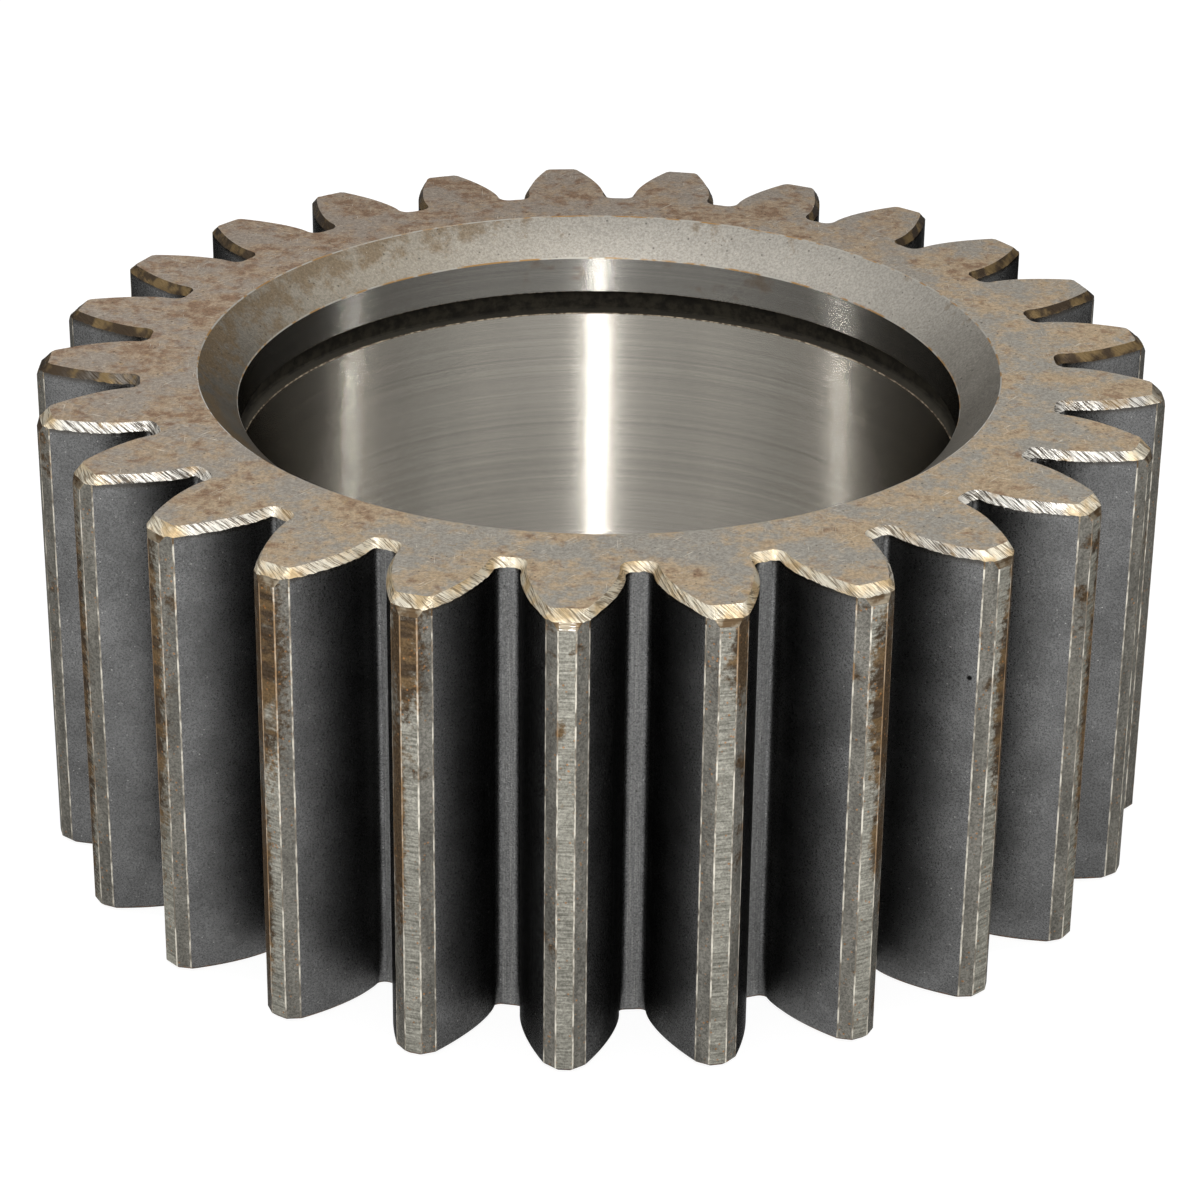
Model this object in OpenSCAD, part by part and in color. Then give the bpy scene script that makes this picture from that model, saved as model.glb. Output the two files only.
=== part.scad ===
// Planet gear: a one-piece steel spur gear whose bore takes a rolling bearing and its retaining ring.
// Millimetres. The origin is on the gear's axis at mid face width, +Z points to the grooved end,
// and tooth 0 points along -Y.

/* [Teeth] */
// Number of teeth
teeth = 25; // [24:1:40]
// Module, the pitch diameter divided by the number of teeth
gear_module = 5; // [4.8:0.1:6]
// Pressure angle in degrees
pressure_angle = 20; // [18:0.5:22.5]
// Profile shift that thickens the teeth, in modules
profile_shift = 0.72; // [0.6:0.01:0.76]
// Height of the tooth tip above the pitch circle
addendum = 7.5; // [6.5:0.1:7.8]
// Depth of the tooth root below the pitch circle
dedendum = 5; // [4:0.1:5.5]
// Width of the flat land along the tooth tip
tip_land = 2; // [1.2:0.1:2.6]
// Height of the sloping facet between the tip land and the flank
tip_facet_h = 1; // [0.5:0.1:1.3]
// Radius of the fillet between flank and root
root_fillet = 0.8; // [0.3:0.1:1.2]

/* [Body] */
// Width of the gear across its two end faces
face_w = 58.5; // [40:0.5:80]

/* [Tooth ends] */
// Inset of the upper end face from the flanks and the root, where the burr was ground off
burr_inset = 0.65; // [0.3:0.05:1]
// Depth of that ground edge along the tooth
burr_depth = 1.05; // [0.6:0.05:1.6]
// Inset of the upper end face from the tip land
tip_inset = 1.65; // [1.2:0.05:2.2]
// Radial depth of the turned bevel on the blank, below the ground edge
turned_inset = 0.4; // [0.1:0.05:0.7]
// Height of the turned bevel
turned_h = 0.9; // [0.4:0.1:1.6]
// Edge break around the lower end face
lower_break = 0.5; // [0.2:0.1:1]

/* [Bore] */
// Diameter of the bearing bore
bore_d = 90; // [80:1:92]
// Radial width of the lead-in chamfer at the grooved end
lead_in_w = 4.9; // [2:0.1:5.5]
// Depth of the lead-in chamfer
lead_in_h = 4.3; // [2:0.1:6]
// Length of the bore's land between chamfer and groove
land_w = 4.95; // [3:0.05:8]
// Width of the retaining ring groove
groove_w = 3.15; // [2.15:0.05:4.15]
// Diameter at the bottom of the retaining ring groove
groove_d = 93.5; // [92.5:0.1:97]
// Edge break at the plain end of the bore
exit_break = 1.5; // [0.5:0.1:3]

/* [Hidden] */
// Segments of one flank and of one root fillet
flank_steps = 8;
fillet_steps = 4;
// Segments round the bore
bore_segments = 180;
// How far a cut runs past the face that it opens
past = 1;
// Share of the gap between two teeth that their fillets may fill
gap_share = 0.9;
// Shortest reach at which the flank still follows its involute
least_reach = 2;
// Share of the sloping tip facet that is left in the upper end face
ground_facet = 0.3;
// Stretches shorter than this are left out of the outline
tiny = 0.01;

pitch = 360 / teeth;
pitch_r = gear_module * teeth / 2;
base_r = pitch_r * cos(pressure_angle);
tip_r = pitch_r + addendum;
root_r = pitch_r - dedendum;
facet_r = tip_r - tip_facet_h;
bore_r = bore_d / 2;
groove_r = groove_d / 2;
top_z = face_w / 2;
groove_top = top_z - lead_in_h - land_w;
groove_bottom = groove_top - groove_w;

// Angle in degrees that a length along the base circle spans
function base_angle(length) = length / base_r * 180 / PI;

// Involute function in degrees
function involute(angle) = tan(angle) * 180 / PI - angle;

// Half of the tooth's thickness at the base circle, as an angle
shift_angle = base_angle(profile_shift * gear_module * sin(pressure_angle));
half_angle = pitch / 4 + shift_angle + involute(pressure_angle);

// The fillet stays within the gap between two teeth
gap_half = (pitch / 2 - half_angle) * PI / 180 * base_r;
fillet_r = min(root_fillet, gap_share * gap_half);

// Length of the straight line from the base circle to the flank at radius r
function reach(r) = sqrt(max(0, r * r - base_r * base_r));

// The flank is an involute down to this reach, and runs straight from there to the fillet
low_reach = max(least_reach, reach(root_r + fillet_r) - fillet_r);
// Direction of that straight stretch, as an angle from the tooth's centre line
low_turn = half_angle - base_angle(low_reach);
// The fillet's centre, across and along that direction
centre_across = low_reach + fillet_r;
centre_along = sqrt(pow(root_r + fillet_r, 2) - pow(centre_across, 2));
straight = base_r - centre_along;

// A point given across and along a direction turned from the tooth's centre line
function turned(across, along, turn) = [
    along * sin(turn) + across * cos(turn),
    along * cos(turn) - across * sin(turn)
];

// Flank moved into the tooth by inset, at a distance from the base circle along its normal
function flank_point(distance, inset) = turned(distance, base_r, half_angle - base_angle(inset + distance));

// The fillet's end direction points from its centre to the gear's axis
fillet_centre = turned(centre_across, centre_along, low_turn);
fillet_from = atan2(-cos(low_turn), sin(low_turn));
fillet_to = atan2(-fillet_centre[0], -fillet_centre[1]);

function fillet_point(part, inset) =
    let (turn = fillet_from + (fillet_to - fillet_from) * part, r = fillet_r + inset)
    fillet_centre + r * [sin(turn), cos(turn)];

// Right half of a tooth on +Y, from the tip land's corner to the root, as points [across, out].
// inset moves flank and root into the metal. tip is the radius at the tip land, and facet_left is
// the part of the sloping facet that is left there.
function half_tooth(inset, tip, facet_left) =
    let (
        facet_w = flank_point(reach(facet_r), 0)[0] - tip_land / 2,
        foot_r = tip - tip_facet_h * facet_left,
        high_reach = reach(foot_r),
        foot = flank_point(high_reach, inset),
        corner = foot[0] - facet_w * facet_left,
        low = low_reach - inset
    )
    concat(
        [[corner, sqrt(tip * tip - corner * corner)]],
        [for (i = [0:flank_steps]) flank_point(high_reach + (low - high_reach) * i / flank_steps, inset)],
        straight > tiny ? [fillet_point(0, inset)] : [],
        [for (i = [1:fillet_steps]) fillet_point(i / fillet_steps, inset)]
    );

// The whole outline, counter-clockwise, with tooth 0 on -Y
function outline(inset, tip, facet_left) =
    let (half = half_tooth(inset, tip, facet_left), last = len(half) - 1)
    [
        for (tooth = [0:teeth - 1])
            let (turn = tooth * pitch - 90)
            for (i = [0:2 * last + 1])
                let (
                    side = i <= last ? -1 : 1,
                    point = half[i <= last ? last - i : i - last - 1]
                )
                [
                    point[1] * cos(turn) - side * point[0] * sin(turn),
                    point[1] * sin(turn) + side * point[0] * cos(turn)
                ]
    ];

// Solid through a stack of outlines with equal point counts, each lying at its own height.
// Each end face is a fan of triangles in every tooth, round a plain polygon that the bore runs through.
module stack(outlines, heights) {
    levels = len(outlines);
    count = len(outlines[0]);
    per_tooth = count / teeth;
    rim_r = (root_r + bore_r + lead_in_w) / 2;
    rim = [for (tooth = [0:teeth - 1]) rim_r * [cos(tooth * pitch - 90), sin(tooth * pitch - 90)]];
    low_rim = levels * count;
    high_rim = low_rim + teeth;
    low_centre = high_rim + teeth;
    high = (levels - 1) * count;
    points = concat(
        [for (level = [0:levels - 1]) for (p = outlines[level]) [p[0], p[1], heights[level]]],
        [for (p = rim) [p[0], p[1], heights[0]]],
        [for (p = rim) [p[0], p[1], heights[levels - 1]]],
        [[0, 0, heights[0]], [0, 0, heights[levels - 1]]]
    );
    faces = [
        for (i = [0:count - 1])
            let (j = (i + 1) % count, tooth = floor(i / per_tooth))
            each [[low_rim + tooth, i, j], [high_rim + tooth, high + j, high + i]],
        for (tooth = [0:teeth - 1])
            let (next = (tooth + 1) % teeth, first = next * per_tooth)
            each [
                [low_rim + tooth, first, low_rim + next],
                [high_rim + tooth, high_rim + next, high + first],
                [low_centre, low_rim + tooth, low_rim + next],
                [low_centre + 1, high_rim + next, high_rim + tooth]
            ],
        for (level = [0:levels - 2])
            for (i = [0:count - 1])
                let (j = (i + 1) % count, a = level * count, b = a + count)
                each [[a + i, b + i, b + j], [a + i, b + j, a + j]]
    ];
    polyhedron(points, faces);
}

// Blank with its teeth: edge break below, then the full section, the turned bevel and the ground edge
module toothed_blank() {
    stack(
        [
            outline(lower_break, tip_r - lower_break, 1),
            outline(0, tip_r, 1),
            outline(0, tip_r, 1),
            outline(0, tip_r - turned_inset, 1 - turned_inset / tip_facet_h),
            outline(burr_inset, tip_r - tip_inset, ground_facet)
        ],
        [
            -top_z,
            lower_break - top_z,
            top_z - burr_depth - turned_h,
            top_z - burr_depth,
            top_z
        ]
    );
}

// Everything that the bore removes, as one turned shape
module bore_cut() {
    rotate_extrude($fn = bore_segments)
        polygon([
            [0, -top_z - past],
            [bore_r + exit_break + past, -top_z - past],
            [bore_r, exit_break - top_z],
            [bore_r, groove_bottom],
            [groove_r, groove_bottom],
            [groove_r, groove_top],
            [bore_r, groove_top],
            [bore_r, top_z - lead_in_h],
            [bore_r + lead_in_w * (1 + past / lead_in_h), top_z + past],
            [0, top_z + past]
        ]);
}

module planet_gear() {
    color([0.5, 0.48, 0.45])
        difference() {
            toothed_blank();
            bore_cut();
        }
}

planet_gear();
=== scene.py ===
"""Planet gear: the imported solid, dressed with ground edges, turned tips, hobbed flanks and bored seat."""

import math

import bpy
from mathutils import Euler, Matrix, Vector, noise


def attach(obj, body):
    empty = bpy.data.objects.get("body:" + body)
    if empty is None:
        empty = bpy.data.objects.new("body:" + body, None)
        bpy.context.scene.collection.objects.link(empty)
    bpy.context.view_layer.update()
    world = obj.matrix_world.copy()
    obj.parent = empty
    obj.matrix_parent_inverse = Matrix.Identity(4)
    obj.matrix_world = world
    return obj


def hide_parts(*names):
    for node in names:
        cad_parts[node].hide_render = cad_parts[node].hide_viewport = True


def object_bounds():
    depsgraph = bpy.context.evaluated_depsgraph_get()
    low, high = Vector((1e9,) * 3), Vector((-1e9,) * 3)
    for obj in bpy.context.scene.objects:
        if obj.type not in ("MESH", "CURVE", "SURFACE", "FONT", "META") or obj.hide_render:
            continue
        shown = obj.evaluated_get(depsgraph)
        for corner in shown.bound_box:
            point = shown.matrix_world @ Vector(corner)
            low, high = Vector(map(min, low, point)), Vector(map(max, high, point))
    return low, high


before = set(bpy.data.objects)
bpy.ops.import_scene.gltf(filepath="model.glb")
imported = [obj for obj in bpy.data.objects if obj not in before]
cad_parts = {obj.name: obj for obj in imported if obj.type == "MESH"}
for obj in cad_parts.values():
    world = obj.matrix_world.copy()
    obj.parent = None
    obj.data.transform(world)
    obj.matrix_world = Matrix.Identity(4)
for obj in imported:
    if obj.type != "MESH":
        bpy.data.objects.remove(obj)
cad_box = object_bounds()

MM = 0.001

# Teeth in millimetres, as the solid has them
TEETH = 25
MODULE = 5.0
PRESSURE_ANGLE = math.radians(20)
PROFILE_SHIFT = 0.72
TIP_RADIUS = 70.0
ROOT_RADIUS = 57.5
TIP_LAND = 2.0
TIP_FACET = 1.0
ROOT_FILLET = 0.8
# The flank is an involute down to this reach
LOW_REACH = 2.0

PITCH = math.tau / TEETH
BASE_RADIUS = MODULE * TEETH / 2 * math.cos(PRESSURE_ANGLE)
SHIFT_ANGLE = PROFILE_SHIFT * MODULE * math.sin(PRESSURE_ANGLE) / BASE_RADIUS
HALF_ANGLE = PITCH / 4 + SHIFT_ANGLE + math.tan(PRESSURE_ANGLE) - PRESSURE_ANGLE

# Height of the upper end face above mid width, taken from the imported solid
TOP = round(cad_box[1][2] / MM, 2)

# Tooth ends: an edge break below, and above it the turned bevel and then the ground edge
LOWER_BREAK = 0.5
TURNED_INSET = 0.4
TURNED_HEIGHT = 0.9
BURR_INSET = 0.65
BURR_DEPTH = 1.05
TIP_INSET = 1.65
BURR_FOOT = TOP - BURR_DEPTH
BEVEL_FOOT = BURR_FOOT - TURNED_HEIGHT
# Shares of the sloping tip facet that are left at the foot and at the top of the ground edge
BEVEL_FACET = 1 - TURNED_INSET / TIP_FACET
GROUND_FACET = 0.3

# Bore: lead-in chamfer, land, groove for the retaining ring, bearing seat and lower edge break
BORE_RADIUS = 45.0
GROOVE_RADIUS = 46.75
LEAD_IN_WIDTH = 4.9
LEAD_IN_HEIGHT = 4.3
BORE_LAND = 4.95
GROOVE_WIDTH = 3.15
EXIT_BREAK = 1.5
CHAMFER_RADIUS = BORE_RADIUS + LEAD_IN_WIDTH
CHAMFER_FOOT = TOP - LEAD_IN_HEIGHT
GROOVE_TOP = CHAMFER_FOOT - BORE_LAND
GROOVE_FOOT = GROOVE_TOP - GROOVE_WIDTH

# Steps along each stretch of half a tooth, up the ground edge and round the bore
LAND_STEPS = 4
CORNER_STEPS = 3
FACET_STEPS = 6
FLANK_STEPS = 36
FILLET_STEPS = 6
ROOT_STEPS = 3
BURR_STEPS = 4
BORE_STEPS = 750
# How far the worn corners beside the tip facet reach along both of their sides
CORNER = 0.1
# The circle on both end faces where the turned inside meets the ends of the teeth
SEAM_RADIUS = 56.0
# Edges between faces that turn by less than this are shaded round
SMOOTH_ANGLE = math.radians(28)


def reach(radius):
    """Length of the flank's normal from the base circle to a radius."""
    return math.sqrt(radius**2 - BASE_RADIUS**2)


def turned(across, out, turn):
    """A point given across and out along a direction that is turned from the tooth's centre line."""
    x = out * math.sin(turn) + across * math.cos(turn)
    y = out * math.cos(turn) - across * math.sin(turn)
    return Vector((x, y))


def flank_point(length, inset):
    """The involute flank, moved into the tooth by inset, at the end of a normal of this length."""
    return turned(length, BASE_RADIUS, HALF_ANGLE - (inset + length) / BASE_RADIUS)


def worn_round(before, corner, after):
    """The points that round a corner, as a short curve between its two sides."""
    start = corner + (before - corner).normalized() * CORNER
    end = corner + (after - corner).normalized() * CORNER
    shares = [i / CORNER_STEPS for i in range(CORNER_STEPS + 1)]
    return [start * (1 - t) ** 2 + corner * 2 * t * (1 - t) + end * t * t for t in shares]


def tip_and_flank(inset, tip, facet_left):
    """Points from the middle of the land down to the fillet, and what each stretch after a point is."""
    facet_width = flank_point(reach(TIP_RADIUS - TIP_FACET), 0).x - TIP_LAND / 2
    high = reach(tip - TIP_FACET * facet_left)
    low = LOW_REACH - inset
    # A flank's length grows with the square of its reach, so these points lie evenly along it
    squares = [high**2 + (low**2 - high**2) * i / FLANK_STEPS for i in range(FLANK_STEPS + 1)]
    flank = [flank_point(math.sqrt(square), inset) for square in squares]
    foot = flank_point(high, inset)
    edge_x = foot.x - facet_width * facet_left
    edge = Vector((edge_x, math.sqrt(tip**2 - edge_x**2)))
    middle = Vector((0, tip))
    land_corner = worn_round(middle, edge, foot)
    flank_corner = worn_round(edge, foot, flank[1])

    points = [middle.lerp(land_corner[0], i / LAND_STEPS) for i in range(LAND_STEPS)]
    points += land_corner
    points += [land_corner[-1].lerp(flank_corner[0], i / FACET_STEPS) for i in range(1, FACET_STEPS)]
    # The rounded corner takes the place of the flank's first two points
    points += flank_corner + flank[2:]
    kinds = ["land"] * LAND_STEPS + ["corner"] * CORNER_STEPS
    kinds += ["facet"] * FACET_STEPS + ["corner"] * CORNER_STEPS
    kinds += ["flank"] * (FLANK_STEPS - 1)
    return points, kinds


def fillet(inset):
    """Points of the round between flank and root, from the flank down."""
    turn = HALF_ANGLE - LOW_REACH / BASE_RADIUS
    across = LOW_REACH + ROOT_FILLET
    centre = turned(across, math.sqrt((ROOT_RADIUS + ROOT_FILLET) ** 2 - across**2), turn)
    start = math.atan2(-math.cos(turn), math.sin(turn))
    end = math.atan2(-centre.x, -centre.y)
    bearings = [start + (end - start) * i / FILLET_STEPS for i in range(FILLET_STEPS + 1)]
    return [centre + (ROOT_FILLET + inset) * Vector((math.sin(b), math.cos(b))) for b in bearings]


def root(start):
    """Points of the root circle after its start, up to the middle of the gap."""
    bearing = math.atan2(start.x, start.y)
    bearings = [bearing + (PITCH / 2 - bearing) * i / ROOT_STEPS for i in range(1, ROOT_STEPS + 1)]
    return [start.length * Vector((math.sin(b), math.cos(b))) for b in bearings]


def half_tooth(inset, tip, facet_left):
    """Half of a tooth on +Y, from mid land to mid gap: points, and what each stretch after them is."""
    points, kinds = tip_and_flank(inset, tip, facet_left)
    points += fillet(inset)
    points += root(points[-1])
    kinds += ["fillet"] * (FILLET_STEPS + 1) + ["root"] * ROOT_STEPS
    return points, kinds


# What each stretch of a tooth becomes: in full section, at the lower end, on the bevel and where ground
PLAIN = {
    "land": "turned_tip", "corner": "worn_corner", "facet": "tip_facet",
    "flank": "hobbed_flank", "fillet": "hobbed_flank", "root": "root_strip",
}
LOWER_EDGE = dict.fromkeys(PLAIN, "lower_edge")
BEVEL = {**PLAIN, "land": "turned_bevel", "corner": "turned_bevel"}
GROUND = dict.fromkeys(PLAIN, "ground_edge")
# Number of levels of the wall below the ground edge
LEVELS_BELOW = 3


def wall_levels():
    """Height, inset of flank and root, tip radius, share of the facet and finishes of every level."""
    levels = [
        (-TOP, LOWER_BREAK, TIP_RADIUS - LOWER_BREAK, 1, LOWER_EDGE),
        (LOWER_BREAK - TOP, 0, TIP_RADIUS, 1, PLAIN),
        (BEVEL_FOOT, 0, TIP_RADIUS, 1, BEVEL),
    ]
    for i in range(BURR_STEPS + 1):
        t = i / BURR_STEPS
        height = BURR_FOOT + (TOP - BURR_FOOT) * t
        tip = TIP_RADIUS - TURNED_INSET - (TIP_INSET - TURNED_INSET) * t
        facet_left = BEVEL_FACET + (GROUND_FACET - BEVEL_FACET) * t
        levels.append((height, BURR_INSET * t, tip, facet_left, GROUND))
    return levels


# The ground edge wanders in a fine grain and a long wave: their lengths, and how far they move it
GRAIN_LENGTH = 0.45
WAVE_LENGTH = 5
FOOT_GRAIN = 0.13
FOOT_WAVE = 0.22
EDGE_GRAIN = 0.05
TOP_WAVE = 0.08


def ragged(point, level):
    """Moves a point of the ground edge a little, because it was ground by hand."""
    step = level - LEVELS_BELOW
    if step < 0:
        return point
    grain = noise.noise(point / GRAIN_LENGTH)
    wave = noise.noise(point / WAVE_LENGTH)
    if step == 0:
        return point + Vector((0, 0, FOOT_GRAIN * grain + FOOT_WAVE * wave))
    inward = Vector((-point.x, -point.y, 0)).normalized()
    if step == BURR_STEPS:
        return point + inward * (EDGE_GRAIN * grain + TOP_WAVE * wave)
    return point + inward * EDGE_GRAIN * grain


def on_gear(point, turn, height):
    """A point of half a tooth on +Y, placed at a tooth's own turn from +X and at a height."""
    x = point.y * math.cos(turn) - point.x * math.sin(turn)
    y = point.y * math.sin(turn) + point.x * math.cos(turn)
    return Vector((x, y, height))


def toothed_wall():
    """Points, faces and finishes of the skin round all teeth, and the number of points in one ring."""
    points, faces, finishes = [], [], []
    levels = wall_levels()
    for level, (height, inset, tip, facet_left, _) in enumerate(levels):
        half, half_kinds = half_tooth(inset, tip, facet_left)
        tooth_points = [Vector((-p.x, p.y)) for p in half[:0:-1]] + half[:-1]
        kinds = half_kinds[::-1] + half_kinds
        for tooth in range(TEETH):
            turn = tooth * PITCH - math.pi / 2
            points += [ragged(on_gear(point, turn, height), level) for point in tooth_points]
    count = len(points) // len(levels)
    for level, (*_, finish) in enumerate(levels[:-1]):
        for i in range(count):
            a, b = level * count + i, level * count + (i + 1) % count
            faces.append((a, b, b + count, a + count))
            finishes.append(finish[kinds[i % len(kinds)]])
    return points, faces, finishes, count


# Rounds of the bore's section: at the lower edge break, at the groove's two edges and in its corners
EXIT_ROUND = 0.1
EXIT_RUN = 0.3
GROOVE_LOWER_BREAK = 0.12
GROOVE_UPPER_BREAK = 0.1
GROOVE_CORNER = 0.2
# Worn rims of the chamfer: how far each reaches along the chamfer, and along the land or the end face
LOWER_RIM_OUT = 0.09
LOWER_RIM_UP = 0.08
LOWER_RIM_DOWN = 0.1
UPPER_RIM_IN = 0.11
UPPER_RIM_DOWN = 0.1
UPPER_RIM_OUT = 0.06

# Section of the turned inside from the lower end up: radius, height, and what the next stretch becomes
SECTION = [
    (SEAM_RADIUS, -TOP, "lower_face"),
    (BORE_RADIUS + EXIT_BREAK, -TOP, "bore_chamfer"),
    (BORE_RADIUS + EXIT_ROUND, EXIT_BREAK + EXIT_ROUND - TOP, "bore_wall"),
    (BORE_RADIUS, EXIT_BREAK + EXIT_RUN - TOP, "bore_wall"),
    (BORE_RADIUS, GROOVE_FOOT - GROOVE_LOWER_BREAK, "groove_edge"),
    (BORE_RADIUS + GROOVE_LOWER_BREAK, GROOVE_FOOT, "groove"),
    (GROOVE_RADIUS - GROOVE_CORNER, GROOVE_FOOT, "groove"),
    (GROOVE_RADIUS, GROOVE_FOOT + GROOVE_CORNER, "groove"),
    (GROOVE_RADIUS, GROOVE_TOP - GROOVE_CORNER, "groove"),
    (GROOVE_RADIUS - GROOVE_CORNER, GROOVE_TOP, "groove"),
    (BORE_RADIUS + GROOVE_UPPER_BREAK, GROOVE_TOP, "groove_edge"),
    (BORE_RADIUS, GROOVE_TOP + GROOVE_UPPER_BREAK, "bore_land"),
    (BORE_RADIUS, CHAMFER_FOOT - LOWER_RIM_DOWN, "worn_and_highlighted_rim"),
    (BORE_RADIUS + LOWER_RIM_OUT, CHAMFER_FOOT + LOWER_RIM_UP, "bore_chamfer"),
    (CHAMFER_RADIUS - UPPER_RIM_IN, TOP - UPPER_RIM_DOWN, "worn_and_highlighted_rim"),
    (CHAMFER_RADIUS + UPPER_RIM_OUT, TOP, "end_face"),
    (SEAM_RADIUS, TOP, None),
]


def turned_inside():
    """Points, faces and finishes of the bore and of both end faces out to the seam circle."""
    points, faces, finishes = [], [], []
    for radius, height, _ in SECTION:
        for i in range(BORE_STEPS):
            turn = math.tau * i / BORE_STEPS - math.pi / 2
            points.append(Vector((radius * math.cos(turn), radius * math.sin(turn), height)))
    for level, (*_, finish) in enumerate(SECTION[:-1]):
        for i in range(BORE_STEPS):
            a, b = level * BORE_STEPS + i, level * BORE_STEPS + (i + 1) % BORE_STEPS
            faces.append((a, a + BORE_STEPS, b + BORE_STEPS, b))
            finishes.append(finish)
    return points, faces, finishes


def end_of_tooth(tooth, wall, wall_count, seam):
    """One face from the seam circle to a tooth's outline. wall and seam are where their rings start."""
    across = wall_count // TEETH
    steps = BORE_STEPS // TEETH
    first = tooth * across
    outline = [wall + (first + i) % wall_count for i in range(across + 1)]
    inner = [seam + (tooth * steps + i - steps // 2) % BORE_STEPS for i in range(steps, -1, -1)]
    return outline + inner


def gear_body(names):
    """The whole gear as one closed skin. names are its finishes, in the order of its material slots."""
    points, faces, finishes, count = toothed_wall()
    wall_top = len(points) - count
    inside = len(points)
    inner_points, inner_faces, inner_finishes = turned_inside()
    points += inner_points
    faces += [[inside + i for i in face] for face in inner_faces]
    finishes += inner_finishes
    for tooth in range(TEETH):
        faces.append(end_of_tooth(tooth, 0, count, inside)[::-1])
        faces.append(end_of_tooth(tooth, wall_top, count, len(points) - BORE_STEPS))
        finishes += ["lower_face", "end_face"]

    mesh = bpy.data.meshes.new("gear_body")
    mesh.from_pydata([point * MM for point in points], [], faces)
    mesh.polygons.foreach_set("material_index", [names.index(finish) for finish in finishes])
    body = bpy.data.objects.new("gear_body", mesh)
    bpy.context.collection.objects.link(body)
    bpy.ops.object.select_all(action="DESELECT")
    body.select_set(True)
    bpy.context.view_layer.objects.active = body
    bpy.ops.object.shade_smooth_by_angle(angle=SMOOTH_ANGLE)
    return body


class Shade:
    """A socket of the material or world being drawn. Expressions on it add Math nodes."""

    tree = None

    def __init__(self, socket):
        self.socket = socket

    @staticmethod
    def node(kind, settings, sockets, output=0):
        """Adds a node: its settings first, then the values or links of its sockets."""
        made = Shade.tree.nodes.new("ShaderNode" + kind)
        for name, setting in settings.items():
            setattr(made, name, setting)
        for name, value in sockets.items():
            if isinstance(value, Shade):
                Shade.tree.links.new(value.socket, made.inputs[name])
            else:
                made.inputs[name].default_value = value
        return Shade(made.outputs[output])

    @staticmethod
    def math(operation, *values):
        return Shade.node("Math", {"operation": operation}, dict(enumerate(values)))

    @staticmethod
    def mix(share, first, second):
        """Shader first where share is 0 and second where it is 1."""
        return Shade.node("MixShader", {}, {0: share, 1: first, 2: second})

    def __add__(self, other):
        return Shade.math("ADD", self, other)

    def __sub__(self, other):
        return Shade.math("SUBTRACT", self, other)

    def __rsub__(self, other):
        return Shade.math("SUBTRACT", other, self)

    def __mul__(self, other):
        return Shade.math("MULTIPLY", self, other)

    def __truediv__(self, other):
        return Shade.math("DIVIDE", self, other)

    __radd__ = __add__
    __rmul__ = __mul__

    def rise(self, low, high):
        """0 below low, 1 above high, and a smooth rise between. It falls where low is above high."""
        settings = {"interpolation_type": "SMOOTHSTEP"}
        return Shade.node("MapRange", settings, {"Value": self, "From Min": low, "From Max": high})

    def most(self, other):
        return Shade.math("MAXIMUM", self, other)

    def blend(self, first, second):
        """Colour first where this is 0 and second where it is 1."""
        colours = [c if isinstance(c, Shade) else (*c, 1) for c in (first, second)]
        # A Mix node takes its colours in sockets 6 and 7 and gives the mixed one in its third
        return Shade.node("Mix", {"data_type": "RGBA"}, {0: self, 6: colours[0], 7: colours[1]}, 2)

    def shade(self, colour, depth):
        """Colour, made darker and lighter by depth as this runs from 0 to 1."""
        factor = self * (2 * depth) + (1 - depth)
        grey = Shade.node("CombineXYZ", {}, {0: factor, 1: factor, 2: factor})
        return Shade.node("VectorMath", {"operation": "MULTIPLY"}, {0: colour, 1: grey})

    def bump(self):
        """The normal of a surface with this height in millimetres."""
        return Shade.node("Bump", {}, {"Strength": 1.0, "Distance": MM, "Height": self})

    def put_out(self, output):
        """Makes this shader the surface of the material or world."""
        Shade.tree.links.new(self.socket, Shade.tree.nodes[output].inputs["Surface"])


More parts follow.
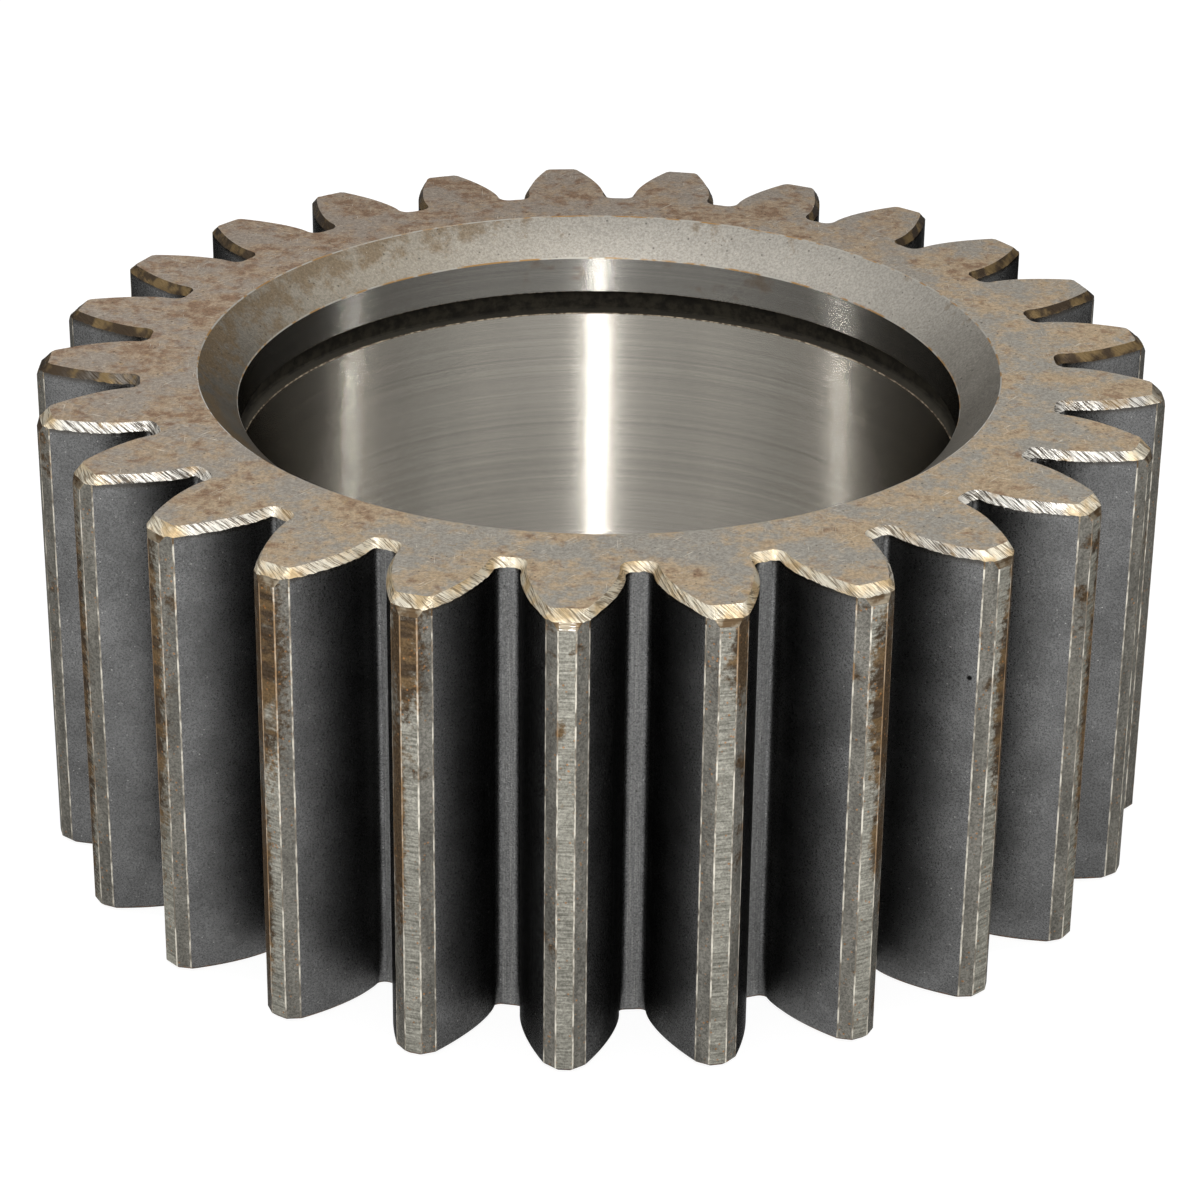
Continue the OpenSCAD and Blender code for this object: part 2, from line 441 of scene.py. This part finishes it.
class Place:
    """Where a point of the gear lies, in millimetres from its centre, for the material being drawn."""

    def __init__(self):
        self.metres = Shade.node("TexCoord", {}, {}, "Object")
        self.point = self.stretched(1, 1, 1)
        self.x, self.y, self.z = [Shade.node("SeparateXYZ", {}, {0: self.point}, i) for i in range(3)]
        self.radius = Shade.math("SQRT", self.x * self.x + self.y * self.y)
        # Tooth widths from tooth 0 on -Y, positive to its right, and the number of the nearest tooth
        self.turn = (Shade.math("ARCTAN2", self.y, self.x) + math.pi / 2) / PITCH
        self.tooth = Shade.math("ROUND", self.turn)
        # 1 on the side of each tooth that faces away from tooth 0, where the rust is heavier
        self.outer = ((self.turn - self.tooth) * self.x).rise(0.5, 4)

    def stretched(self, x, y, z, turn=(0, 0, 0)):
        """The point in millimetres, turned and then divided by the grain's length along each axis."""
        scale = [1 / MM / length for length in (x, y, z)]
        turned_point = Shade.node("Mapping", {}, {"Vector": self.metres, "Rotation": turn})
        return Shade.node("VectorMath", {"operation": "MULTIPLY"}, {0: turned_point, 1: scale})

    def grain(self, size, detail=2.0, vector=None, roughness=0.55, seed=0.0):
        """Noise from 0 to 1 with its grains about size millimetres apart. The seed moves it elsewhere."""
        at = self.point if vector is None else vector
        moved = Shade.node("VectorMath", {"operation": "ADD"}, {0: at, 1: (seed, seed * 1.7, seed * 0.6)})
        sockets = {"Vector": moved, "Scale": 1 / size, "Detail": detail, "Roughness": roughness}
        return Shade.node("TexNoise", {}, sockets)

    def speckle(self, size, seed=0.0):
        """Sharp grains, half of them dark and half of them light."""
        return self.grain(size, 3, roughness=0.8, seed=seed).rise(0.34, 0.66)

    def dots(self, size, share, seed=0.0):
        """Small round dots, size millimetres apart. share is their width against that."""
        moved = Shade.node("VectorMath", {"operation": "ADD"}, {0: self.point, 1: (seed, seed, seed)})
        cells = Shade.node("TexVoronoi", {}, {"Vector": moved, "Scale": 1 / size})
        return cells.rise(share, share * 0.4)

    def spot(self, centre, size):
        """1 near a point, and 0 from size millimetres on."""
        away = Shade.node("VectorMath", {"operation": "DISTANCE"}, {0: self.point, 1: centre}, "Value")
        return away.rise(size, size * 0.5)

    def stain(self, tooth, height, width, length, edge):
        """1 in an upright oval, its sizes in millimetres, with a ragged border that follows edge."""
        across = (self.turn - tooth) * (PITCH * TIP_RADIUS / width)
        along = (self.z - height) / length
        return (Shade.math("SQRT", across * across + along * along) + edge * 2).rise(2.2, 1.6)


# How much of the light that grazes the steel it throws back
EDGE_TINT = (0.02, 0.02, 0.02, 1)


def draw_material(name, draw):
    """A material whose draw(place) gives its colour, roughness, metallic share and normal."""
    material = bpy.data.materials.new(name)
    material.use_nodes = True
    Shade.tree = material.node_tree
    shader = material.node_tree.nodes["Principled BSDF"]
    colour, roughness, metallic, normal = draw(Place())
    shader.inputs["Metallic"].default_value = metallic
    shader.inputs["Specular Tint"].default_value = EDGE_TINT
    for socket, value in (("Base Color", colour), ("Roughness", roughness), ("Normal", normal)):
        Shade.tree.links.new(value.socket, shader.inputs[socket])
    return material


# Colours that several finishes share: plain steel, its stains, and dirt
COOL = (0.35, 0.326, 0.284)
RUST = (0.22, 0.125, 0.075)
OCHRE = (0.46, 0.3, 0.13)
DARK = (0.05, 0.043, 0.035)


def scratches(place, turn, seed):
    """Thin short scratches along one direction."""
    line = place.grain(1, 1, place.stretched(3.2, 0.17, 7, (0, 0, turn)), seed=seed)
    where = place.grain(4, 2, seed=seed + 2)
    return line.rise(0.67, 0.74) * where.rise(0.48, 0.62)


def end_face(place):
    """Upper end: cool and warm steel, browner at the back left, with rust, pits and scratches, and painted
    shade towards the back.
    """
    warm, browned, scratched = (0.47, 0.362, 0.242), (0.37, 0.28, 0.215), (0.85, 0.79, 0.66)
    mottle = place.grain(1.2, 5, roughness=0.75)
    fine = place.speckle(0.4, 1.0)
    cloud = place.grain(8, 3, seed=5.0)
    blotch = place.grain(2.2, 5, roughness=0.75, seed=14.0)
    back_left = (place.y - place.x).rise(-60, 90)
    colour = (mottle * 0.4 + cloud * 0.6).rise(0.43, 0.57).blend(COOL, warm)
    colour = (back_left * 0.5).blend(colour, browned)
    rust = (blotch * 0.55 + cloud * 0.3 + back_left * 0.05).rise(0.45, 0.55)
    colour = (rust * 0.72).blend(colour, RUST)
    ochre = place.grain(1.6, 4, roughness=0.75, seed=31.0).rise(0.6, 0.68)
    colour = (ochre * 0.4).blend(colour, OCHRE)
    pits = place.dots(1.1, 0.15).most(place.dots(1.7, 0.13, 3.0)) * mottle.rise(0.42, 0.56)
    colour = (pits * 0.75).blend(colour, DARK)
    marks = scratches(place, 0.4, 11.0).most(scratches(place, -0.9, 17.0))
    marks = marks.most(scratches(place, 1.5, 23.0))
    colour = (marks * 0.55).blend(colour, scratched)
    colour = fine.shade(colour, 0.2)
    # Painted light and shade: lighter in front and darker at the back
    colour = (1 - place.y.rise(10, 70)).shade(colour, 0.11)
    return colour, 0.6 - marks * 0.15, 0.3, (fine * 0.02 + mottle * 0.05 - marks * 0.02).bump()


def lower_face(place):
    """Lower end: turned in fine rings, with some rust."""
    turning = place.radius + place.grain(9, 1) * 0.4
    rings = Shade.math("SINE", turning * 9)
    grain = place.grain(0.6, 3)
    cloud = place.grain(14, 3, seed=3.0)
    blotch = place.grain(2.2, 4, roughness=0.7, seed=8.0)
    rust = (cloud * 0.6 + blotch * 0.4).rise(0.5, 0.68)
    colour = rust.blend(COOL, RUST)
    colour = (grain * 0.7 + rings * 0.08 + 0.1).shade(colour, 0.3)
    return colour, 0.5 + grain * 0.15, 0.4, (grain * 0.02 + rings * 0.008).bump()


def lower_edge(place):
    grain = place.grain(0.8, 3)
    colour = grain.rise(0.4, 0.6).blend(DARK, RUST)
    return colour, 0.55 + grain * 0.2, 0.3, (grain * 0.03).bump()


# Turn of the grinding marks about x, y and z, in radians
GRINDING = (0.5, 0.9, 0.3)


def ground_edge(place):
    """Bright steel in slanting strokes, yellowed in places, paler at the sides and stained at the back."""
    bare, yellowed, side_bare = (0.86, 0.79, 0.64), (0.82, 0.66, 0.43), (0.9, 0.87, 0.8)
    stroke_colour, side_stroke = (0.3, 0.235, 0.155), (0.1, 0.085, 0.07)
    dark_stain, brown_stain = (0.07, 0.05, 0.033), (0.21, 0.145, 0.07)
    fine = place.grain(1, 3, place.stretched(0.09, 2.4, 2.4, GRINDING), roughness=0.75, seed=4.0)
    stroke = place.grain(1, 2, place.stretched(0.22, 3, 3, GRINDING), seed=9.0)
    patch = place.grain(3, 3, seed=2.0)
    back = (place.y - place.x * 0.05).rise(-24, 4)
    colour = patch.rise(0.42, 0.6).blend(bare, yellowed)
    side = Shade.math("ABSOLUTE", place.x).rise(20, 50) * place.radius.rise(68.2, 67)
    colour = side.blend(colour, side_bare)
    strokes = (fine * 0.6 + stroke * 0.4 + side * 0.02).rise(0.48, 0.58)
    colour = strokes.blend(colour, side.blend(stroke_colour, side_stroke))
    colour = (patch.rise(0.54, 0.66) * 0.5).blend(colour, OCHRE)
    stained = patch.rise(0.45, 0.6).blend(dark_stain, brown_stain)
    colour = (patch * 0.3 + back * 0.8).rise(0.35, 0.8).blend(colour, stained)
    return colour, 0.36 + fine * 0.08, 0.6, (fine * 0.05 + stroke * 0.2).bump()


# The painted highlight on tooth 0 reaches this share of a tooth width to each side of its middle
HIGHLIGHT_REACH = 0.05


def turned_bevel(place):
    """Dull turned steel, with a painted highlight on tooth 0."""
    dull, brown, painted_highlight = (0.26, 0.22, 0.16), (0.12, 0.08, 0.045), (1, 0.97, 0.9)
    patch = place.grain(1.7, 3, seed=6.0)
    lines = place.grain(1, 1, place.stretched(4, 4, 0.14))
    colour = patch.rise(0.42, 0.58).blend(dull, brown)
    on_first = Shade.math("ABSOLUTE", place.turn).rise(HIGHLIGHT_REACH * 1.1, HIGHLIGHT_REACH * 0.9)
    # Painted highlight in the middle of tooth 0, broken up by lines and patches
    bright = on_first * (lines * 0.5 + patch * 0.5).rise(0.46, 0.54)
    colour = bright.blend(lines.shade(colour, 0.5), painted_highlight)
    return colour, 0.34 + lines * 0.15, 0.8, (lines * 0.05).bump()


# Stains on the tips: tooth, height of the middle, half width and half height
STAINS = [
    (-1.03, 23, 2.4, 9), (-1.09, 2, 1, 16), (-2.02, 18, 2.4, 15), (-2.09, -12, 1.4, 14),
    (-3.07, 8, 2.2, 24), (-4.06, 0, 2, 30), (1.09, 24, 1, 7), (2.07, 15, 2, 13),
    (2.08, -3, 1.3, 5), (3.07, 10, 1.6, 16), (4.07, 0, 1.6, 20),
]


def side_rust(place):
    """Brown rust on the tips, in upright blocks, most of them on each tooth's outer side."""
    block = place.grain(1, 3, place.stretched(5, 5, 4), roughness=0.6, seed=3.0)
    fine = place.grain(0.7, 3, roughness=0.7, seed=8.0)
    found = (block * 0.75 + fine * 0.25 + place.outer * 0.11 + place.z * 0.0018).rise(0.6, 0.7)
    for tooth, height, width, length in STAINS:
        found = found.most(place.stain(tooth, height, width, length, fine))
    return found * block.rise(0.25, 0.42)


def rust_dots(place):
    """Small freckles of rust, closer together in some places."""
    return place.dots(0.75, 0.24, 5.0) * place.grain(4, 2, seed=27.0).rise(0.42, 0.54) * 0.8


def turned_tip(place):
    """Tip land with the level lines of the turned blank, under patches and freckles of rust."""
    dark_steel, pale_steel = (0.125, 0.12, 0.1), (0.33, 0.32, 0.275)
    dark_rust, brown_rust, freckle = (0.045, 0.025, 0.011), (0.13, 0.078, 0.032), (0.3, 0.14, 0.05)
    fine = place.grain(1, 1, place.stretched(3, 3, 0.28), seed=2.0).rise(0.25, 0.75)
    coarse = place.grain(1, 1, place.stretched(7, 7, 0.4), seed=7.0)
    lines = fine * 0.75 + coarse * 0.25
    rust = side_rust(place)
    colour = lines.blend(dark_steel, pale_steel)
    cloud = place.grain(5, 3, seed=19.0)
    colour = cloud.shade(colour, 0.35)
    layer = place.grain(1, 3, place.stretched(6, 6, 2), seed=13.0)
    brown = layer.rise(0.42, 0.58).blend(dark_rust, brown_rust)
    colour = (rust * 0.9).blend(colour, brown)
    colour = rust_dots(place).blend(colour, freckle)
    colour = place.speckle(0.3).shade(colour, 0.3)
    return colour, 0.42 + rust * 0.2, 0.7, (lines * 0.03).bump()


def tip_facet(place):
    """Sloping facet beside the land, darker and without lines, with the same rust."""
    dark_steel, pale_steel = (0.11, 0.105, 0.092), (0.18, 0.172, 0.15)
    brown_rust, freckle = (0.07, 0.043, 0.021), (0.3, 0.15, 0.06)
    rust = side_rust(place)
    grain = place.speckle(0.33)
    cloud = place.grain(1, 3, place.stretched(2, 2, 8), seed=3.0)
    colour = cloud.rise(0.3, 0.7).blend(dark_steel, pale_steel)
    colour = (rust * 0.9).blend(colour, brown_rust)
    colour = rust_dots(place).blend(colour, freckle)
    colour = grain.shade(colour, 0.35)
    return colour, 0.45 + rust * 0.2, 0.7, (grain * 0.02).bump()


def worn_corner(place):
    """Corner between land, facet and flank, worn bright in places."""
    dull, bright, rusty = (0.18, 0.16, 0.13), (0.68, 0.64, 0.55), (0.3, 0.17, 0.07)
    wear = place.grain(1, 3, place.stretched(1.2, 1.2, 3), roughness=0.75, seed=5.0)
    colour = wear.rise(0.4, 0.64).blend(dull, bright)
    colour = (side_rust(place) * 0.7).blend(colour, rusty)
    return colour, 0.36 + wear * 0.15, 0.7, (wear * 0.03).bump()


# The one small pit in a flank: its place and its reach
PIT = (44.57, -51.61, 13.45)
PIT_SIZE = 0.4


def hobbed_flank(place):
    """Dark steel as the hob left it, with pale dots, a darker upper end and the pit."""
    dark_steel, grey_steel = (0.1, 0.1, 0.099), (0.14, 0.14, 0.139)
    pale_dot, pit = (0.6, 0.59, 0.56), (0.005, 0.005, 0.005)
    speck = place.speckle(0.2, 1.0)
    cloud = place.grain(6, 3, seed=9.0)
    colour = cloud.rise(0.3, 0.7).blend(dark_steel, grey_steel)
    colour = speck.shade(colour, 0.36)
    pale = place.dots(0.9, 0.13) * speck
    colour = (pale * 0.6).blend(colour, pale_dot)
    top = place.z.rise(BURR_FOOT - 0.7, BURR_FOOT)
    colour = (top * 0.7).blend(colour, DARK)
    colour = place.spot(PIT, PIT_SIZE).blend(colour, pit)
    return colour, 0.26 + speck * 0.06, 1.0, (speck * 0.012).bump()


def root_strip(place):
    """Root between two teeth, a little paler, with upright scratches."""
    steel, scratched = (0.175, 0.175, 0.172), (0.25, 0.248, 0.24)
    scratch = place.grain(1, 2, place.stretched(0.14, 0.14, 9), seed=6.0)
    speck = place.speckle(0.22, 2.0)
    colour = scratch.rise(0.5, 0.7).blend(steel, scratched)
    colour = (place.dots(0.9, 0.16, 8.0) * 0.7).blend(colour, DARK)
    colour = speck.shade(colour, 0.4)
    return colour, 0.4 + speck * 0.08, 1.0, (speck * 0.02).bump()


def bore_chamfer(place):
    """Lead-in chamfer: dull steel with painted shade in front and painted light at the back and on the
    right, stained on its left.
    """
    dark_steel, pale_steel = (0.15, 0.137, 0.115), (0.46, 0.432, 0.382)
    tarnish, brown_rust, pale_dot = (0.36, 0.3, 0.21), (0.21, 0.135, 0.06), (0.8, 0.78, 0.72)
    speck = place.speckle(0.35, 3.0)
    cloud = place.grain(7, 3, seed=2.0)
    back = place.y.rise(-12, 48)
    left = (place.x * -1).rise(-5, 45)
    right = place.x.rise(15, 50)
    outside = place.radius.rise(BORE_RADIUS, CHAMFER_RADIUS)
    spots = place.grain(2.6, 5, roughness=0.75)
    rust = (cloud * 0.3 + left * 0.12 + outside * 0.1 + spots * 0.55).rise(0.54, 0.66)
    # Painted light and shade: dark in front, pale at the back and paler on the right
    light = (cloud * 0.35 + back * 0.65 + right * 0.22).rise(0.05, 0.95)
    colour = light.blend(dark_steel, pale_steel)
    colour = (left * back * 0.6).blend(colour, tarnish)
    colour = (rust * 0.6).blend(colour, brown_rust)
    colour = (place.dots(0.8, 0.13, 6.0) * back * 0.4).blend(colour, pale_dot)
    pits = place.dots(1.4, 0.14, 2.0)
    colour = (pits * 0.6).blend(colour, DARK)
    colour = speck.shade(colour, 0.2)
    return colour, 0.5 + speck * 0.06, 0.6, (speck * 0.02).bump()


def worn_and_highlighted_rim(place):
    """Both rims of the chamfer, worn bare or rusty, with a painted highlight on the bare parts in front."""
    bare, rusty, bright = (0.5, 0.475, 0.42), (0.42, 0.24, 0.09), (0.95, 0.93, 0.88)
    wear = place.grain(2.5, 3, seed=7.0)
    front = place.y.rise(0, -25)
    colour = wear.rise(0.44, 0.6).blend(bare, rusty)
    # Painted highlight on the bare rims in front
    colour = (front * wear.rise(0.62, 0.45)).blend(colour, bright)
    return colour, 0.36 + wear * 0.1, 0.3, (wear * 0.02).bump()


# Range of the slopes of the finest boring lines, and the roughness of their steel
LINE_TILT = 1.8
BORE_ROUGHNESS = 0.16


def bored(place, colour):
    """Finely bored steel: level lines all round, whose slopes spread a lamp's reflection up and down."""
    line = place.grain(1, 2, place.stretched(500, 500, 0.12), roughness=0.7, seed=5.0)
    broad = place.grain(1, 2, place.stretched(400, 400, 0.6), seed=1.0)
    # The finest lines are too fine to see, so their slopes are drawn by lot
    lot = Shade.node("TexWhiteNoise", {}, {"Vector": place.point})
    slope = (lot - 0.5) * LINE_TILT + (line - 0.5) * (LINE_TILT * 0.1)
    inward_x, inward_y = [side / place.radius * -1 for side in (place.x, place.y)]
    inward = Shade.node("CombineXYZ", {}, {0: inward_x, 1: inward_y, 2: slope})
    settings = {"vector_type": "NORMAL", "convert_from": "OBJECT", "convert_to": "WORLD"}
    normal = Shade.node("VectorTransform", settings, {0: inward})
    normal = Shade.node("VectorMath", {"operation": "NORMALIZE"}, {0: normal})
    return (broad * 0.25 + line * 0.75).shade(colour, 0.4), line * 0.04 + BORE_ROUGHNESS, 1.0, normal


def bore_land(place):
    """Short land above the groove, stained at the back."""
    steel, stained = (0.25, 0.24, 0.218), (0.18, 0.12, 0.07)
    stain = place.grain(5, 4, roughness=0.65, seed=4.0).rise(0.58, 0.72) * place.y.rise(5, 35)
    return bored(place, (stain * 0.5).blend(steel, stained))


def bore_wall(place):
    """Seat of the bearing."""
    steel, pale_steel = (0.41, 0.387, 0.343), (0.46, 0.435, 0.386)
    cloud = place.grain(14, 2, place.stretched(1, 1, 3))
    return bored(place, cloud.rise(0.3, 0.7).blend(steel, pale_steel))


def groove_edge(place):
    bare, rusty = (0.4, 0.33, 0.24), (0.07, 0.05, 0.035)
    rust = place.grain(0.8, 4, roughness=0.7)
    colour = rust.rise(0.42, 0.58).blend(bare, rusty)
    return colour, 0.4 + rust * 0.3, 0.6, (rust * 0.04).bump()


def groove(place):
    """Groove of the retaining ring, very dark with painted shade and dirt, and less dark on its two sides.
    """
    shade_black, grimy_shade, side_steel = (0.02, 0.018, 0.015), (0.045, 0.04, 0.03), (0.11, 0.1, 0.08)
    grime_and_shade = place.grain(1.5, 4, roughness=0.7)
    # Painted shade in the recess, mottled with dirt
    colour = grime_and_shade.rise(0.35, 0.65).blend(shade_black, grimy_shade)
    # Painted shade: darkest at the bottom of the groove, lighter on its two sides
    shelf = place.radius.rise(GROOVE_RADIUS - 0.1, GROOVE_RADIUS - 0.4)
    colour = (shelf * 0.5).blend(colour, side_steel)
    return colour, 0.5 + grime_and_shade * 0.3, 0.3, (grime_and_shade * 0.03).bump()


FINISHES = (
    end_face, lower_face, lower_edge, ground_edge, turned_bevel, turned_tip, worn_corner, tip_facet,
    hobbed_flank, root_strip, bore_chamfer, worn_and_highlighted_rim, bore_land, bore_wall, groove_edge, groove,
)
body = gear_body([draw.__name__ for draw in FINISHES])
for draw in FINISHES:
    body.data.materials.append(draw_material(draw.__name__, draw))
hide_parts("planet_gear")
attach(body, "root")

# The studio, in metres. Metal shows it bright in front of the gear and dim behind
BRIGHT = (1, 1, 1)
DIM = (0.12, 0.12, 0.12)
SKY_STRENGTH = 0.52
PAPER = (0.8, 0.8, 0.8, 1)
# Glow of the floor for the camera and, ahead of the gear, for metal, and its share beside plain paper
SEEN_GLOW = 1.24
SEEN_SHARE = 0.7
FRONT_GLOW = 3.9
FRONT_SHARE = 0.5
FLOOR_SIZE = 6
FLOOR_DROP = 0.1 * MM


def rays():
    """1 for what the camera sees, and 1 for what metal and glass show it."""
    names = ("Is Camera Ray", "Is Glossy Ray", "Is Transmission Ray")
    seen, glossy, through = [Shade.node("LightPath", {}, {}, name) for name in names]
    return seen, glossy.most(through)


def glow(colour, strength):
    return Shade.node("Emission", {}, {"Color": colour, "Strength": strength})


def hang_sky():
    """A plain sky that lights the gear. The camera sees it white, and metal shows it so only in front."""
    world = bpy.data.worlds.new("studio")
    bpy.context.scene.world = world
    world.use_nodes = True
    Shade.tree = world.node_tree
    seen, mirrored = rays()
    direction = Shade.node("TexCoord", {}, {}, "Generated")
    in_front = Shade.node("SeparateXYZ", {}, {0: direction}, "Y").rise(0.5, -0.9)
    backdrop = in_front.most(seen).blend(DIM, BRIGHT)
    white = Shade.node("Background", {}, {"Color": backdrop, "Strength": 1.0})
    sky = Shade.node("Background", {}, {"Color": (*BRIGHT, 1), "Strength": SKY_STRENGTH})
    Shade.mix(seen.most(mirrored), sky, white).put_out("World Output")


def floor_paper():
    """Plain paper that glows for the camera, with a faint shadow left, and that metal shows glowing."""
    material = bpy.data.materials.new("floor")
    material.use_nodes = True
    Shade.tree = material.node_tree
    seen, mirrored = rays()
    paper = Shade.node("BsdfDiffuse", {}, {"Color": PAPER})
    seen_paper = Shade.mix(SEEN_SHARE, paper, glow((*BRIGHT, 1), SEEN_GLOW))
    across_floor = Shade.node("TexCoord", {}, {}, "Object")
    in_front = Shade.node("SeparateXYZ", {}, {0: across_floor}, "Y").rise(0.15, -0.45)
    mirrored_paper = Shade.mix(FRONT_SHARE, paper, glow(in_front.blend(DIM, BRIGHT), FRONT_GLOW))
    unseen_paper = Shade.mix(mirrored, paper, mirrored_paper)
    Shade.mix(seen, unseen_paper, seen_paper).put_out("Material Output")
    return material


def lay_floor():
    """The floor, just below the gear."""
    bpy.ops.mesh.primitive_plane_add(size=FLOOR_SIZE, location=(0, 0, -TOP * MM - FLOOR_DROP))
    floor = bpy.context.object
    floor.name = "floor"
    floor.data.materials.append(floor_paper())


def softbox(name, place, size, radiance):
    """A soft lamp that faces the gear. radiance is its brightness."""
    lamp = bpy.data.lights.new(name, "AREA")
    lamp.shape = "RECTANGLE"
    lamp.size, lamp.size_y = size
    lamp.energy = radiance * math.pi * size[0] * size[1]
    box = bpy.data.objects.new(name, lamp)
    box.location = place
    box.rotation_euler = (-Vector(place)).to_track_quat("-Z", "Y").to_euler()
    bpy.context.collection.objects.link(box)


def set_camera():
    """The camera, at the viewing angle and framing of the photograph. Its place is in millimetres."""
    lens = bpy.data.cameras.new("camera")
    lens.sensor_width = 36
    lens.lens = 109.0
    lens.shift_x = 0.0329
    lens.shift_y = -0.1246
    lens.clip_start = 0.01
    lens.clip_end = 10
    camera = bpy.data.objects.new("camera", lens)
    camera.location = Vector((18.07, -416.19, 207.54)) * MM
    camera.rotation_euler = Euler([math.radians(angle) for angle in (65.379, -0.353, 3.293)])
    bpy.context.collection.objects.link(camera)
    bpy.context.scene.camera = camera


hang_sky()
lay_floor()
# One lamp in front and one at each side. The bore shows them as three upright bright strips
softbox("front_lamp", (0.05, -1.05, 0.8), (0.053, 0.9), 58)
softbox("left_lamp", (-1.0, 0.1, 0.9), (0.03, 0.35), 80)
softbox("right_lamp", (0.97, 0.23, 0.9), (0.03, 0.35), 80)
set_camera()

bpy.context.scene.view_settings.view_transform = "Standard"
